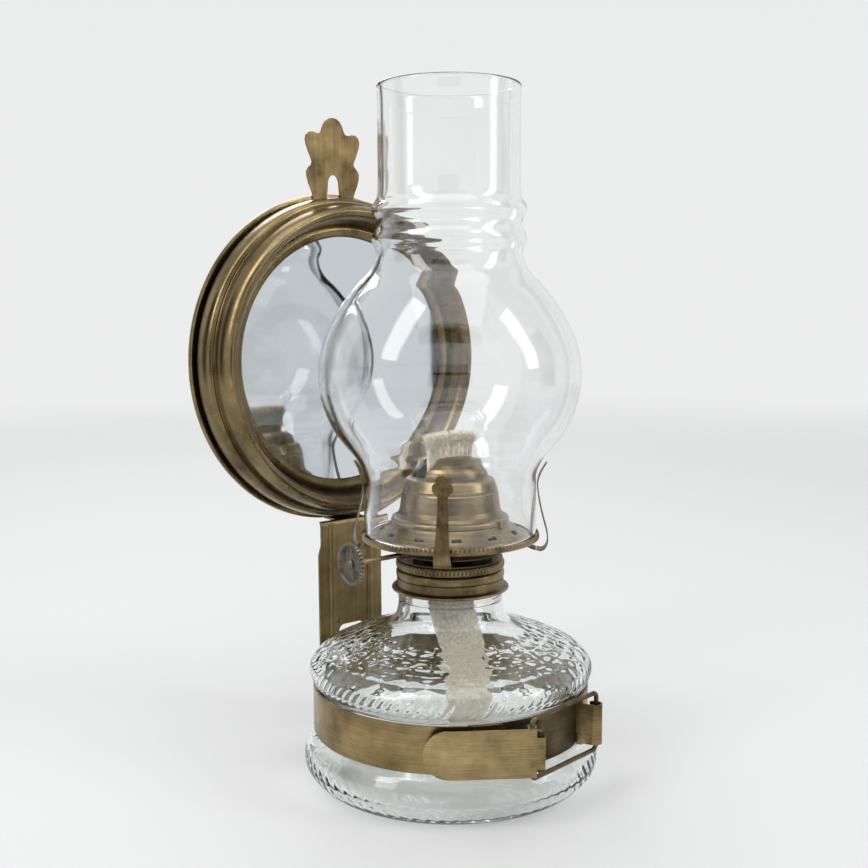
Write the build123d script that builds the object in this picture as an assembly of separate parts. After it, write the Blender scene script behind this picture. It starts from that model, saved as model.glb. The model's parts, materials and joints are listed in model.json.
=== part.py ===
from build123d import *
import math
import os

os.makedirs("parts", exist_ok=True)

# ---------------------------------------------------------------------------
# Kerosene lamp: pressed-glass font, flat-wick burner for a 76.2 mm chimney,
# clamp band with over-centre latch, back strap and round wall reflector.
# Millimetres. +Z up, origin at the centre of the foot's underside,
# reflector towards +Y, latch towards -Y, wick knob towards -X.
# Azimuths are measured from -Y towards +X.
# ---------------------------------------------------------------------------

# glass font
FOOT_R = 65.8            # largest radius of the foot
WAIST_R = 59.7           # bottom of the band groove
NECK_R = 23.1            # neck below the collar
NECK_TOP_R = 21.2        # neck inside the collar
BORE_R = 17.6            # filling hole
NECK_TOP_Z = 92.2

# clamp band
BAND_R = 61.6            # outer radius
BAND_T = 0.9
BAND_Z0, BAND_Z1 = 22.2, 42.3
BAND_END1 = -19.2        # azimuth of the plain end
HOOK_RI, HOOK_T = 2.4, 0.8       # bend of the hooked end
HOOK_ROOM = 0.85         # free travel of the link's leg in the hook

# latch
PIN = (-12.5, -70.0)             # hinge axis in plan
PIN_R = 1.2
LEG_L = (-14.25, -66.97)         # link leg carried by the lever
LEG_R = (29.2, -61.7)            # link leg in the hook
WIRE_R = 1.0
LINK_Z0, LINK_Z1 = 19.9, 45.05
LEVER_T = 0.9
LEVER_A = (-13.0, -73.0)         # outer face at the hinge
LEVER_B = (-42.8, -51.5)         # crease
LEVER_C = (-51.4, -43.0)         # end of the finger tab
NOTCH = 3.4

# collar
COL_Z0, COL_Z1 = 84.0, 93.4
COL_R = 23.8
LIP_R = 26.1
SLEEVE_RI = 15.85
THREAD_R = 15.77

# burner
KNURL_R, KNURL_Z0, KNURL_Z1 = 24.2, 93.7, 97.45
DRUM_Z0, DRUM_Z1 = 97.7, 101.3
DRUM_R, DRUM_T = 23.4, 0.8
RIM_R, RIM_Z0, RIM_Z1 = 39.5, 106.7, 109.6
SEAT_Z = 108.5
DOME_RING_R = 26.1
DOME_Z0 = 114.7
DOME_TOP = 143.8
SLOT_W = 6.4

# wick and its drive
WICK_W, WICK_T = 25.4, 2.6
WICK_TOP = 153.0
TUBE_W, TUBE_D, TUBE_WALL = 27.4, 4.7, 0.4
SHAFT_Y, SHAFT_Z, SHAFT_R = -5.1, 104.2, 1.0
SPROCKET_R = 3.4
KNOB_X0, KNOB_X1, KNOB_R = -58.6, -57.2, 9.1

# chimney
CH_BASE_R, CH_Z0, CH_Z1 = 38.1, 108.8, 302.4
CH_WALL = 2.4

# spring prongs
PRONG_T = 0.5
PRONG_FOOT_R = 38.0      # end of the fixed foot, start of the free strip

# reflector
REF_Z = 182.6
FRAME_T = 0.8
MIRROR_R, MIRROR_Y0, MIRROR_Y1 = 63.5, 78.2, 81.2
PLATE_R, PLATE_Y0, PLATE_Y1 = 79.5, 87.0, 87.8
CREST_T = 0.8

# back strap
STRAP_T = 1.0
STRAP_Y = 76.0           # front face below the reflector
STRAP_W0, STRAP_W1 = 37.6, 34.6
RIB_X = 11.5
TONGUE_W = 17.0          # part behind the reflector


def av(az):
    a = math.radians(az)
    return math.sin(a), -math.cos(a)


def polar(az, rho, z=0.0):
    s, c = av(az)
    return (rho * s, rho * c, z)


def revolved(pts):
    """Closed polygon of (r, z) points turned about the lamp's axis."""
    f = make_face(Polyline(*[(r, 0, z) for r, z in pts], close=True))
    return revolve(f, axis=Axis.Z, revolution_arc=360)


def turned(edges):
    f = make_face(edges)
    return revolve(f, axis=Axis.Z, revolution_arc=360)


def rz(pts):
    return [(r, 0, z) for r, z in pts]


def ring_sector(r0, r1, z0, z1, a0, a1):
    """Part of a tube between two azimuths."""
    p0, p1 = polar(a0, r1), polar(a1, r1)
    q0, q1 = polar(a0, r0), polar(a1, r0)
    m = 0.5 * (a0 + a1)
    pm, qm = polar(m, r1), polar(m, r0)
    e = [ThreePointArc(p0, pm, p1), Line(p1, q1), ThreePointArc(q1, qm, q0), Line(q0, p0)]
    f = make_face(e)
    return Pos(0, 0, z0) * extrude(f, z1 - z0, dir=(0, 0, 1))


def offset_strip(pts, t):
    """Two rows of points on either side of a row of plane points."""
    n = len(pts)
    left, right = [], []
    for i in range(n):
        a = pts[max(i - 1, 0)]
        b = pts[min(i + 1, n - 1)]
        dx, dy = b[0] - a[0], b[1] - a[1]
        d = math.hypot(dx, dy)
        nx, ny = -dy / d, dx / d
        left.append((pts[i][0] + nx * t / 2, pts[i][1] + ny * t / 2))
        right.append((pts[i][0] - nx * t / 2, pts[i][1] - ny * t / 2))
    return left, right


def catmull(pts, k=6):
    out = []
    n = len(pts)
    for i in range(n - 1):
        p0 = pts[max(i - 1, 0)]
        p1, p2 = pts[i], pts[i + 1]
        p3 = pts[min(i + 2, n - 1)]
        for j in range(k):
            t = j / k
            out.append(tuple(0.5 * (2 * p1[m] + (p2[m] - p0[m]) * t
                       + (2 * p0[m] - 5 * p1[m] + 4 * p2[m] - p3[m]) * t * t
                       + (3 * p1[m] - p0[m] - 3 * p2[m] + p3[m]) * t ** 3) for m in (0, 1)))
    out.append(tuple(pts[-1]))
    return out


def strip_face(pts, t, to3):
    l, r = offset_strip(pts, t)
    return make_face(Polyline(*[to3(p) for p in l + r[::-1]], close=True))


def rivet(x, y, z, r, h0, h1, head_r, head_h, d):
    """Shank along +Y or -Y style axis d with a domed head at each end."""
    pl = Plane(origin=(x, y, z), z_dir=d)
    s = pl * Pos(0, 0, h0) * Cylinder(r, h1 - h0, align=(Align.CENTER, Align.CENTER, Align.MIN))
    a = pl * Pos(0, 0, h1) * Cone(head_r, head_r * 0.6, head_h, align=(Align.CENTER, Align.CENTER, Align.MIN))
    b = pl * Pos(0, 0, h0) * Rot(180, 0, 0) * Cone(head_r, head_r * 0.6, head_h, align=(Align.CENTER, Align.CENTER, Align.MIN))
    return s + a + b


NODES = {}


def save(name, shape):
    NODES[name] = list(shape) if isinstance(shape, (list, tuple)) else [shape]


# ---------------------------------------------------------------------------
# glass font: round foot, band groove, bulging shoulder, neck
# ---------------------------------------------------------------------------
foot = [(57.5, 0.0), (60.3, 0.8), (61.9, 2.0), (63.5, 4.0), (64.9, 6.0), (FOOT_R, 9.2), (65.7, 12.0), (65.2, 15.0), (64.4, 17.4), (63.0, 19.6), (61.3, 20.9), (WAIST_R, 21.6)]
groove = [(WAIST_R, 21.6), (WAIST_R, 42.9)]
shoulder = [(WAIST_R, 42.9), (61.4, 44.0), (62.2, 45.8), (62.9, 48.5), (62.6, 50.5), (61.4, 53.0), (58.1, 56.0), (54.2, 58.0), (50.1, 60.0), (44.7, 62.0),
            (39.3, 64.0), (34.1, 66.0), (29.65, 68.0), (26.4, 70.0), (24.45, 72.5), (23.4, 76.0), (NECK_R, 79.6)]
outer = [Line((0, 0, 0), (57.5, 0, 0)), Spline(*rz(foot)), Polyline(*rz(groove)), Spline(*rz(shoulder)),
         Polyline(*rz([(NECK_R, 79.6), (23.4, 80.2), (23.4, 81.0), (NECK_R, 81.6), (NECK_R, 83.4),
                       (NECK_TOP_R, 84.9), (NECK_TOP_R, NECK_TOP_Z), (BORE_R, NECK_TOP_Z), (BORE_R, 84.0)]))]
inner = [(BORE_R, 84.0), (19.7, 78.0), (20.9, 73.0), (24.2, 68.6), (32.4, 63.9), (42.6, 60.0), (51.6, 56.2), (56.6, 53.2),
         (59.2, 49.6), (58.9, 46.8), (57.2, 43.6), (56.5, 40.0), (56.5, 26.0), (57.2, 21.0), (59.2, 17.6), (61.6, 13.6),
         (62.0, 10.2), (60.9, 7.2), (57.6, 4.4), (52.0, 3.2)]
inner_e = [Spline(*rz(inner)), Line((52.0, 0, 3.2), (0, 0, 3.2)), Line((0, 0, 3.2), (0, 0, 0))]
font_glass = turned(outer + inner_e)
save("font_glass", font_glass)

# cement that holds the collar on the neck
collar_cement = revolved([(NECK_TOP_R, 85.0), (23.0, 85.0), (23.0, 92.6), (BORE_R, 92.6), (BORE_R, NECK_TOP_Z), (NECK_TOP_R, NECK_TOP_Z)])
save("collar_cement", collar_cement)

# collar: rolled lip, plain band, bulged ring, top flange and threaded sleeve
collar = revolved([
    (23.4, COL_Z0), (23.0, 84.6), (23.0, 92.6), (16.7, 92.6), (16.7, 86.0), (SLEEVE_RI, 86.0), (SLEEVE_RI, COL_Z1),
    (22.8, COL_Z1), (23.7, 93.1), (24.1, 92.3), (24.1, 90.6), (23.9, 89.7), (23.5, 89.3), (COL_R, 88.9), (COL_R, 86.2), (24.4, 85.6),
    (25.4, 85.4), (25.95, 85.2), (LIP_R, 84.8), (LIP_R, 84.3), (25.8, COL_Z0)])
save("collar", collar)

# ---------------------------------------------------------------------------
# clamp band, hooked at one end
# ---------------------------------------------------------------------------
bi, bo = BAND_R - BAND_T, BAND_R
leg_rho = math.hypot(*LEG_R)
hook_t = Vector(-LEG_R[1] / leg_rho, LEG_R[0] / leg_rho, 0)
hook_n = Vector(LEG_R[0] / leg_rho, LEG_R[1] / leg_rho, 0)
hook_c = Vector(LEG_R[0], LEG_R[1], 0) - hook_t * HOOK_ROOM - hook_n * 0.3
ro = HOOK_RI + HOOK_T


def on_radius(toff, rad):
    """Where a line along the hook's wall meets a circle about the axis."""
    base = hook_c + hook_t * toff
    b = base.dot(hook_n)
    c = base.dot(base) - rad * rad
    return base - hook_n * (b - math.sqrt(b * b - c))


def hook_pt(r, deg):
    a = math.radians(deg)
    return hook_c + hook_t * (r * math.cos(a)) + hook_n * (r * math.sin(a))


END_A = -62
w_in, w_out = on_radius(-ro, bi), on_radius(-HOOK_RI, bo)
e_band = [
    ThreePointArc(polar(BAND_END1, bi), polar(181, bi), w_in),
    Line(w_in, hook_pt(ro, 180)),
    ThreePointArc(hook_pt(ro, 180), hook_pt(ro, 60), hook_pt(ro, END_A)),
    Line(hook_pt(ro, END_A), hook_pt(HOOK_RI, END_A)),
    ThreePointArc(hook_pt(HOOK_RI, END_A), hook_pt(HOOK_RI, 60), hook_pt(HOOK_RI, 180)),
    Line(hook_pt(HOOK_RI, 180), w_out),
    ThreePointArc(w_out, polar(181, bo), polar(BAND_END1, bo)),
    Line(polar(BAND_END1, bo), polar(BAND_END1, bi)),
]
clamp_band = Pos(0, 0, BAND_Z0) * extrude(make_face(e_band), BAND_Z1 - BAND_Z0, dir=(0, 0, 1))
clamp_band = clamp_band - ring_sector(63.6, 76, 40.4, 44, 17, 33) - ring_sector(63.6, 76, 20, 22.8, 17, 33)
# round the corners of the plain end
for zc, sgn in ((BAND_Z0, 1), (BAND_Z1, -1)):
    cut = ring_sector(bi - 0.5, bo + 0.5, min(zc, zc + sgn * 2.5), max(zc, zc + sgn * 2.5), BAND_END1 - 2.35, BAND_END1 + 1)
    keep = Plane(origin=polar(BAND_END1 - 2.35, BAND_R, zc + sgn * 2.5), z_dir=polar(BAND_END1 - 2.35, 1)) * Cylinder(2.5, 8)
    clamp_band = clamp_band - (cut - keep)
save("clamp_band", clamp_band)

# tongue that bridges the gap under the hooked end
tr0, tr1 = WAIST_R + 0.1, bi
tongue = ring_sector(tr0, tr1, BAND_Z0, BAND_Z1, -34, 27)
TIP = 10.0
for zc, sgn in ((BAND_Z0, 1), (BAND_Z1, -1)):
    a_end = 27 - math.degrees(TIP / 60.4)
    cut = ring_sector(tr0 - 0.5, tr1 + 0.5, min(zc, zc + sgn * TIP), max(zc, zc + sgn * TIP), a_end, 29)
    keep = Plane(origin=polar(a_end, 60.4, zc + sgn * TIP), z_dir=polar(a_end, 1)) * Cylinder(TIP, 8)
    tongue = tongue - (cut - keep)
save("latch_tongue", tongue)

riv = []
for zz in (27.0, 37.2):
    p = polar(-28.0, 0, zz)
    pl = Plane(origin=p, z_dir=polar(-28.0, 1))
    riv.append(pl * Pos(0, 0, tr0 + 0.05) * Cylinder(1.0, BAND_R - tr0, align=(Align.CENTER, Align.CENTER, Align.MIN))
               + pl * Pos(0, 0, BAND_R - 0.05) * Cone(1.9, 1.1, 0.8, align=(Align.CENTER, Align.CENTER, Align.MIN)))
save("tongue_rivets", riv)

# hinge bracket: curved base with two ears
base = ring_sector(bi, BAND_R - 0.1, 24.3, 40.2, -17, -3.5)
e0 = Vector(-7.0, -60.9, 0)
e1 = Vector(PIN[0], PIN[1], 0)
ed = (e1 - e0).normalized()
ep = Vector(-ed.Y, ed.X, 0)
bracket = base
for z0 in (24.3, 39.3):
    es = e0 - ed * 1.2
    q = [es + ep * 1.7, e1 + ep * 1.7, e1 - ep * 1.7, es - ep * 1.7]
    ear = Pos(0, 0, z0) * extrude(make_face(Polyline(*q, close=True)), 0.9, dir=(0, 0, 1))
    ear = ear + Pos(PIN[0], PIN[1], z0) * Cylinder(2.0, 0.9, align=(Align.CENTER, Align.CENTER, Align.MIN))
    bracket = bracket + (ear - Cylinder(bi + 0.02, 200))
bracket = bracket - Pos(PIN[0], PIN[1], 0) * Cylinder(PIN_R, 100)
save("hinge_bracket", bracket)
pin = Pos(PIN[0], PIN[1], 23.6) * Cylinder(PIN_R, 17.4, align=(Align.CENTER, Align.CENTER, Align.MIN))
save("hinge_pin", pin)
brr = []
for zz in (29.0, 35.5):
    pl = Plane(origin=polar(-11.5, 0, zz), z_dir=polar(-11.5, 1))
    brr.append(pl * Pos(0, 0, tr0 + 0.05) * Cylinder(0.9, BAND_R - 0.1 - tr0, align=(Align.CENTER, Align.CENTER, Align.MIN))
               + pl * Pos(0, 0, BAND_R - 0.15) * Cone(1.6, 0.9, 0.7, align=(Align.CENTER, Align.CENTER, Align.MIN)))
save("bracket_rivets", brr)

# lever: flat plate, hinge tube, finger tab with a rounded end, two lugs for the link
LA, LB, LC = (Vector(*p, 0) for p in (LEVER_A, LEVER_B, LEVER_C))
d1 = (LB - LA).normalized()
m1 = Vector(d1.Y, -d1.X, 0)
if m1.dot(LA) > 0:
    m1 = m1 * -1
d2 = (LC - LB).normalized()
m2 = Vector(d2.Y, -d2.X, 0)
if m2.dot(LB) > 0:
    m2 = m2 * -1
mm = (m1 + m2).normalized()
A0 = LA - d1 * 0.3
plate = make_face(Polyline(A0, LB, LC, LC + m2 * LEVER_T, LB + mm * LEVER_T, A0 + m1 * LEVER_T, close=True))
lever = Pos(0, 0, BAND_Z0) * extrude(plate, BAND_Z1 - BAND_Z0, dir=(0, 0, 1))
zm = (BAND_Z0 + BAND_Z1) / 2
Rt = (BAND_Z1 - BAND_Z0) / 2
endpl = Plane(origin=LC - d2 * Rt + Vector(0, 0, zm), x_dir=d2, z_dir=m2)
lever = lever - (endpl * Pos(Rt, 0, 0) * Box(2 * Rt, 4 * Rt, 8) - endpl * Cylinder(Rt, 9))
notch_pl = Plane(origin=LA + Vector(0, 0, zm), x_dir=d1, z_dir=m1)
for sg in (-1, 1):
    lever = lever - notch_pl * Pos(0.5, sg * (Rt - NOTCH / 2 + 1), 0) * Box(5.2, NOTCH + 2, 8)
ztube0, ztube1 = BAND_Z0 + NOTCH, BAND_Z1 - NOTCH
lever = lever + Pos(PIN[0], PIN[1], ztube0) * Cylinder(2.0, ztube1 - ztube0, align=(Align.CENTER, Align.CENTER, Align.MIN))
lever = lever - Pos(PIN[0], PIN[1], 0) * Cylinder(PIN_R + 0.08, 100)
LL = Vector(LEG_L[0], LEG_L[1], 0)
foot_s = (LL - LA).dot(d1)
for z0 in (BAND_Z0, BAND_Z1 - 0.9):
    q = [LA + d1 * 3.1 + m1 * 0.1, LA + d1 * (foot_s + 1.9) + m1 * 0.1, LL + d1 * 1.9, LL - d1 * 1.44]
    lug = extrude(make_face(Polyline(*q, close=True)), 0.9, dir=(0, 0, 1))
    lug = Pos(0, 0, z0) * lug + Pos(LL.X, LL.Y, z0) * Cylinder(1.9, 0.9, align=(Align.CENTER, Align.CENTER, Align.MIN))
    lever = lever + lug
lever = lever - Pos(LL.X, LL.Y, 0) * Cylinder(WIRE_R + 0.08, 100)
save("latch_lever", lever)

# wire link: closed rectangle with rounded corners
L = math.hypot(LEG_R[0] - LEG_L[0], LEG_R[1] - LEG_L[1])
lx = Vector(LEG_R[0] - LEG_L[0], LEG_R[1] - LEG_L[1], 0).normalized()
ln = lx.cross(Vector(0, 0, 1))
link_pl = Plane(origin=Vector(LEG_L[0], LEG_L[1], (LINK_Z0 + LINK_Z1) / 2), x_dir=lx, z_dir=ln)
up = 1 if link_pl.y_dir.Z > 0 else -1
hz = (LINK_Z1 - LINK_Z0) / 2
RC = 2.4


def rod2(a, b):
    pa = link_pl.from_local_coords(Vector(a[0], up * a[1], 0))
    pb = link_pl.from_local_coords(Vector(b[0], up * b[1], 0))
    d = pb - pa
    return Plane(origin=pa, z_dir=d.normalized()) * Cylinder(WIRE_R, d.length, align=(Align.CENTER, Align.CENTER, Align.MIN))


def bend2(cx, cy, qx, qy):
    """Quarter bend about a local centre, towards one corner."""
    t = link_pl * Pos(cx, up * cy, 0) * Torus(RC, WIRE_R)
    b = link_pl * Pos(cx + qx * 2.5, up * (cy + qy * 2.5), 0) * Box(5, 5, 5)
    return t & b


link = rod2((0, -hz + RC), (0, hz - RC)) + rod2((RC, hz), (L - RC, hz)) + rod2((L, hz - RC), (L, -hz + RC)) + rod2((L - RC, -hz), (RC, -hz))
for cx, cy, qx, qy in ((RC, hz - RC, -1, 1), (L - RC, hz - RC, 1, 1), (L - RC, -hz + RC, 1, -1), (RC, -hz + RC, -1, -1)):
    link = link + bend2(cx, cy, qx, qy)
save("latch_link", link)

# ---------------------------------------------------------------------------
# back strap: flat at the band, joggled back behind the reflector
# ---------------------------------------------------------------------------
ys = STRAP_Y + STRAP_T / 2
yb = PLATE_Y1 + STRAP_T / 2
side = [(ys, 20.0), (ys, 101.8), (ys + 0.4, 103.2), (ys + 1.6, 103.9), (yb - 1.6, 104.1), (yb - 0.4, 104.7), (yb, 106.0), (yb, 150.0)]
f = strip_face(side, STRAP_T, lambda p: (0, p[0], p[1]))
strap = extrude(f, STRAP_W0 / 2, dir=(1, 0, 0), both=True)
# outline seen from the front
w0, w1 = STRAP_W0 / 2, STRAP_W1 / 2
op = [(-w0, 22.0), (-w0 + 2, 20.0), (w0 - 2, 20.0), (w0, 22.0), (w0, 87.6), (w1 + 0.2, 91.8), (w1, 92.6), (w1, 104.6), (w1, 140.0), (8.5, 145.0),
      (6.0, 149.0), (0, 150.0), (-6.0, 149.0), (-8.5, 145.0), (-w1, 140.0), (-w1, 104.6), (-w1, 92.6), (-w1 - 0.2, 91.8), (-w0, 87.6)]
outline = extrude(make_face(Polyline(*[(x, 60, z) for x, z in op], close=True)), 40, dir=(0, 1, 0))
strap = strap & outline
# only a narrow tongue runs on behind the reflector
for sx in (-1, 1):
    strap = strap - Pos(sx * (TONGUE_W / 2 + 15), STRAP_Y + STRAP_T + 0.6 + 10, 130) * Box(30, 20, 80)
# window near the lower end
win = Pos(0, ys, 39.0) * Box(15.0, 10, 24.0)
win = fillet(win.edges().filter_by(Axis.Y), 3.0)
strap = strap - win
# two pressed ribs
for sx in (-1, 1):
    rib = Pos(sx * RIB_X, STRAP_Y + 0.3, 23.0) * Cylinder(1.5, 79.0, align=(Align.CENTER, Align.CENTER, Align.MIN))
    rib = rib & (Pos(sx * RIB_X, STRAP_Y - 2, 60) * Box(6, 4.8, 90))
    strap = strap + rib
save("back_strap", strap)

# two bent brackets between the band and the strap
brs, brv = [], []
for sx in (-1, 1):
    x0 = 14.2
    yband = math.sqrt(BAND_R ** 2 - (x0 + 0.3) ** 2)
    wall = Pos(sx * x0, (yband - 1.2 + STRAP_Y) / 2, 31.5) * Box(0.8, STRAP_Y - yband + 1.2, 15.0)
    top2 = Pos(sx * (x0 + 1.6), STRAP_Y - 0.4, 31.5) * Box(4.0, 0.8, 15.0)
    fl = ring_sector(BAND_R, BAND_R + 0.8, 24.0, 39.0, *sorted((180 - sx * 12.9, 180 - sx * 22.0)))
    b = (wall + top2 + fl) - Cylinder(BAND_R, 200)
    brs.append(b)
    rx = sx * 16.3
    brv.append(rivet(rx, STRAP_Y, 31.5, 0.9, -0.8, 1.0, 1.6, 0.7, (0, 1, 0)))
    pa = polar(180 - sx * 19.0, BAND_R, 31.5)
    brv.append(rivet(pa[0], pa[1], pa[2], 0.9, -0.8, 0.8, 1.6, 0.6, polar(180 - sx * 19.0, 1)) & (Cylinder(120, 300) - Cylinder(WAIST_R + 0.05, 300)))
save("standoff_brackets", brs)
save("standoff_rivets", brv)

# ---------------------------------------------------------------------------
# reflector: rolled frame, mirror, backing board, back plate
# ---------------------------------------------------------------------------


def about_reflector(pts):
    """Closed (radius, y) polygon turned about the reflector's own axis."""
    f = make_face(Polyline(*[(r, y, REF_Z) for r, y in pts], close=True))
    return revolve(f, axis=Axis((0, 0, REF_Z), (0, 1, 0)), revolution_arc=360)


frame_line = [(59.1, 77.2), (60.3, 76.2), (62.0, 75.6), (63.6, 76.0), (64.5, 76.4), (65.2, 75.2), (65.8, 73.0), (67.0, 69.0), (68.7, 66.1), (70.5, 65.3), (72.0, 67.0), (73.0, 70.2),
              (73.4, 73.6), (74.0, 75.3), (75.2, 75.4), (76.4, 76.6), (77.1, 80.0), (77.0, 84.0)]
fine = catmull(frame_line, 4)
fl_, fr_ = offset_strip(fine, FRAME_T)
reflector_frame = about_reflector(fl_ + fr_[::-1])
for k in range(4):
    a = 45 + 90 * k
    tab = Pos(0, 0, REF_Z) * Rot(0, a, 0) * Pos(0, (83.8 + PLATE_Y0) / 2, 77.0) * Box(7.0, PLATE_Y0 - 83.8, 0.8)
    reflector_frame = reflector_frame + tab
save("reflector_frame", reflector_frame)
mirror_glass = about_reflector([(0, MIRROR_Y0), (MIRROR_R, MIRROR_Y0), (MIRROR_R, MIRROR_Y1), (0, MIRROR_Y1)])
save("mirror_glass", mirror_glass)
backing_board = about_reflector([(0, MIRROR_Y1), (MIRROR_R, MIRROR_Y1), (MIRROR_R, PLATE_Y0), (0, PLATE_Y0)])
save("backing_board", backing_board)

# back plate with a rolled edge
back_plate = about_reflector([(0, PLATE_Y0), (78.7, PLATE_Y0), (79.3, PLATE_Y0 + 0.2), (PLATE_R, PLATE_Y0 + 0.8), (PLATE_R, PLATE_Y0 + 1.8), (79.2, PLATE_Y0 + 2.3),
                              (78.6, PLATE_Y0 + 2.3), (78.2, PLATE_Y0 + 1.8), (78.0, PLATE_Y1), (0, PLATE_Y1)])
back_plate = back_plate - Pos(0, PLATE_Y1, REF_Z - 80) * Box(TONGUE_W + 1.0, 10, 12)
save("back_plate", back_plate)

# rivets from strap to back plate
srv = [rivet(sx * 5.0, PLATE_Y1, 114.0, 1.2, -0.8, 1.0, 2.4, 0.9, (0, 1, 0)) for sx in (-1, 1)]
save("strap_rivets", srv)

# hanging crest: lobed plate on two legs with an arch between them
half = [(0.0, 298.2), (2.2, 297.9), (4.2, 296.6), (5.6, 294.4), (6.4, 292.2), (7.3, 290.7), (9.2, 290.4), (11.4, 291.0), (13.6, 290.8), (15.2, 289.4),
        (15.8, 287.4), (15.4, 285.0), (14.0, 281.4), (12.6, 278.4), (12.1, 276.8), (12.6, 275.6), (14.2, 274.2), (15.3, 272.4), (15.2, 270.0), (14.2, 266.6),
        (12.8, 263.6), (12.0, 261.6), (11.9, 255.6), (11.0, 254.6), (6.2, 254.6), (5.4, 255.4), (4.3, 260.4), (3.5, 263.4), (3.2, 267.6), (2.6, 269.6), (1.4, 270.9), (0.0, 271.3)]
left = [(-x, z) for x, z in half[1:-1]][::-1]
crest = extrude(make_face(Polyline(*[(x, PLATE_Y0 - CREST_T, z) for x, z in half + left], close=True)), CREST_T, dir=(0, 1, 0))
save("hanging_crest", crest)
crv = [rivet(sx * 8.6, PLATE_Y0, 257.6, 1.0, -0.8, 0.8, 1.9, 0.8, (0, 1, 0)) for sx in (-1, 1)]
save("crest_rivets", crv)

# ---------------------------------------------------------------------------
# burner
# ---------------------------------------------------------------------------
# knurled ring with the threaded sleeve that enters the collar
skirt = revolved([(15.0, 86.4), (THREAD_R, 86.4), (THREAD_R, KNURL_Z0), (KNURL_R - 0.8, KNURL_Z0), (KNURL_R, KNURL_Z0 + 0.6), (KNURL_R, KNURL_Z1 - 0.6),
                  (KNURL_R - 0.7, KNURL_Z1), (15.0, KNURL_Z1)])
save("burner_skirt", skirt)


def stadium(w, d, z0, z1):
    h = z1 - z0
    b = Pos(0, 0, z0) * Box(w - d, d, h, align=(Align.CENTER, Align.CENTER, Align.MIN))
    for sx in (-1, 1):
        b = b + Pos(sx * (w - d) / 2, 0, z0) * Cylinder(d / 2, h, align=(Align.CENTER, Align.CENTER, Align.MIN))
    return b


# air drum: floor with a pilot sleeve, and three posts between open windows
drum = revolved([(0, DRUM_Z0), (14.2, DRUM_Z0), (14.2, 91.0), (14.92, 91.0), (14.92, DRUM_Z0), (DRUM_R, DRUM_Z0), (DRUM_R, DRUM_Z1), (DRUM_R - DRUM_T, DRUM_Z1), (DRUM_R - DRUM_T, DRUM_Z0 + 0.6), (0, DRUM_Z0 + 0.6)])
for a in (-37, 83, 203):
    drum = drum - ring_sector(DRUM_R - DRUM_T - 1.0, DRUM_R + 1, DRUM_Z0 + 0.6, DRUM_Z1 - 0.5, a - 47, a + 47)
drum = drum - stadium(TUBE_W, TUBE_D, 90, 105)
save("air_drum", drum)

# lower shell of the burner
bowl = revolved([(17.3, 101.3 + 0.0), (DRUM_R, DRUM_Z1), (30.0, 104.0), (36.5, 106.7), (38.2, 107.3), (38.2, 107.9), (36.2, 107.3), (29.8, 104.65), (DRUM_R - 0.3, DRUM_Z1 + 0.65), (17.3, 101.9)])
bowl = bowl - Pos(-30.5, SHAFT_Y, SHAFT_Z) * Rot(0, 90, 0) * Cylinder(1.7, 12)
save("burner_bowl", bowl)

# gallery deck: rim, chimney seat, cone and its collar, with lanced openings
deck = revolved([
    (38.2, RIM_Z0), (39.2, RIM_Z0), (RIM_R, RIM_Z0 + 0.5), (RIM_R, RIM_Z1 - 0.4), (39.2, RIM_Z1), (38.9, RIM_Z1 - 0.2), (38.8, SEAT_Z), (36.2, SEAT_Z), (35.2, SEAT_Z + 0.3),
    (31.8, 110.4), (28.6, 112.3), (26.8, 113.3), (26.2, 113.9), (26.0, 114.5), (25.4, 114.5), (25.5, 113.7), (26.2, 112.9), (28.2, 111.7),
    (31.4, 109.8), (34.8, 108.1), (36.0, SEAT_Z - 0.6), (38.2, SEAT_Z - 0.6)])
for k in range(12):
    a = -35.5 + 30 * k
    p = polar(a, 30.0, 111.0)
    deck = deck - Plane(origin=p, x_dir=(math.cos(math.radians(a)), math.sin(math.radians(a)), 0), z_dir=(0, 0, 1)) * Box(4.4, 2.2, 6.0)
save("gallery_deck", deck)

# flat wick tube with windows for the sprockets
tube = stadium(TUBE_W, TUBE_D, 88.0, 139.0) - stadium(TUBE_W - 2 * TUBE_WALL, TUBE_D - 2 * TUBE_WALL, 80, 150)
for sx in (-1, 1):
    tube = tube - Pos(sx * 6.0, -2.2, SHAFT_Z) * Box(2.6, 2.2, 8.8)
save("wick_tube", tube)

# flame dome: rolled base ring, tapered drum, domed cap cut by the wick slot
dt_ = 0.6
dome_out = [(25.0, 114.5), (25.9, DOME_Z0 - 0.2), (DOME_RING_R, DOME_Z0 + 0.4), (DOME_RING_R, DOME_Z0 + 1.5), (25.8, DOME_Z0 + 2.0), (25.2, DOME_Z0 + 2.3), (24.2, 117.4),
            (23.0, 118.6), (22.3, 120.5), (21.9, 123.6), (21.35, 127.9), (20.95, 128.4), (20.9, 129.0), (21.0, 129.5), (20.4, 131.6), (19.7, 133.8), (19.0, 134.8), (17.6, 135.3), (16.7, 135.8),
            (16.5, 137.0), (16.1, 138.7), (14.9, 140.6), (12.2, 142.2), (8.4, 143.25), (4.2, DOME_TOP - 0.1), (0, DOME_TOP)]
dome_in = [(0, DOME_TOP - dt_), (4.1, DOME_TOP - dt_ - 0.1), (8.2, 142.65), (11.9, 141.6), (14.4, 140.2), (15.5, 138.5), (15.9, 136.9), (16.1, 135.4), (17.2, 134.8),
           (18.6, 134.3), (19.1, 133.6), (19.8, 131.4), (20.3, 129.2), (20.3, 128.6), (20.75, 127.7), (21.3, 123.5), (21.7, 120.3), (22.5, 118.2), (23.8, 116.8), (25.0, 115.9)]
dome = revolved(dome_out + dome_in)
dome = dome - Pos(0, 0, 141.1) * Box(40, SLOT_W, 10.6)
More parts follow.
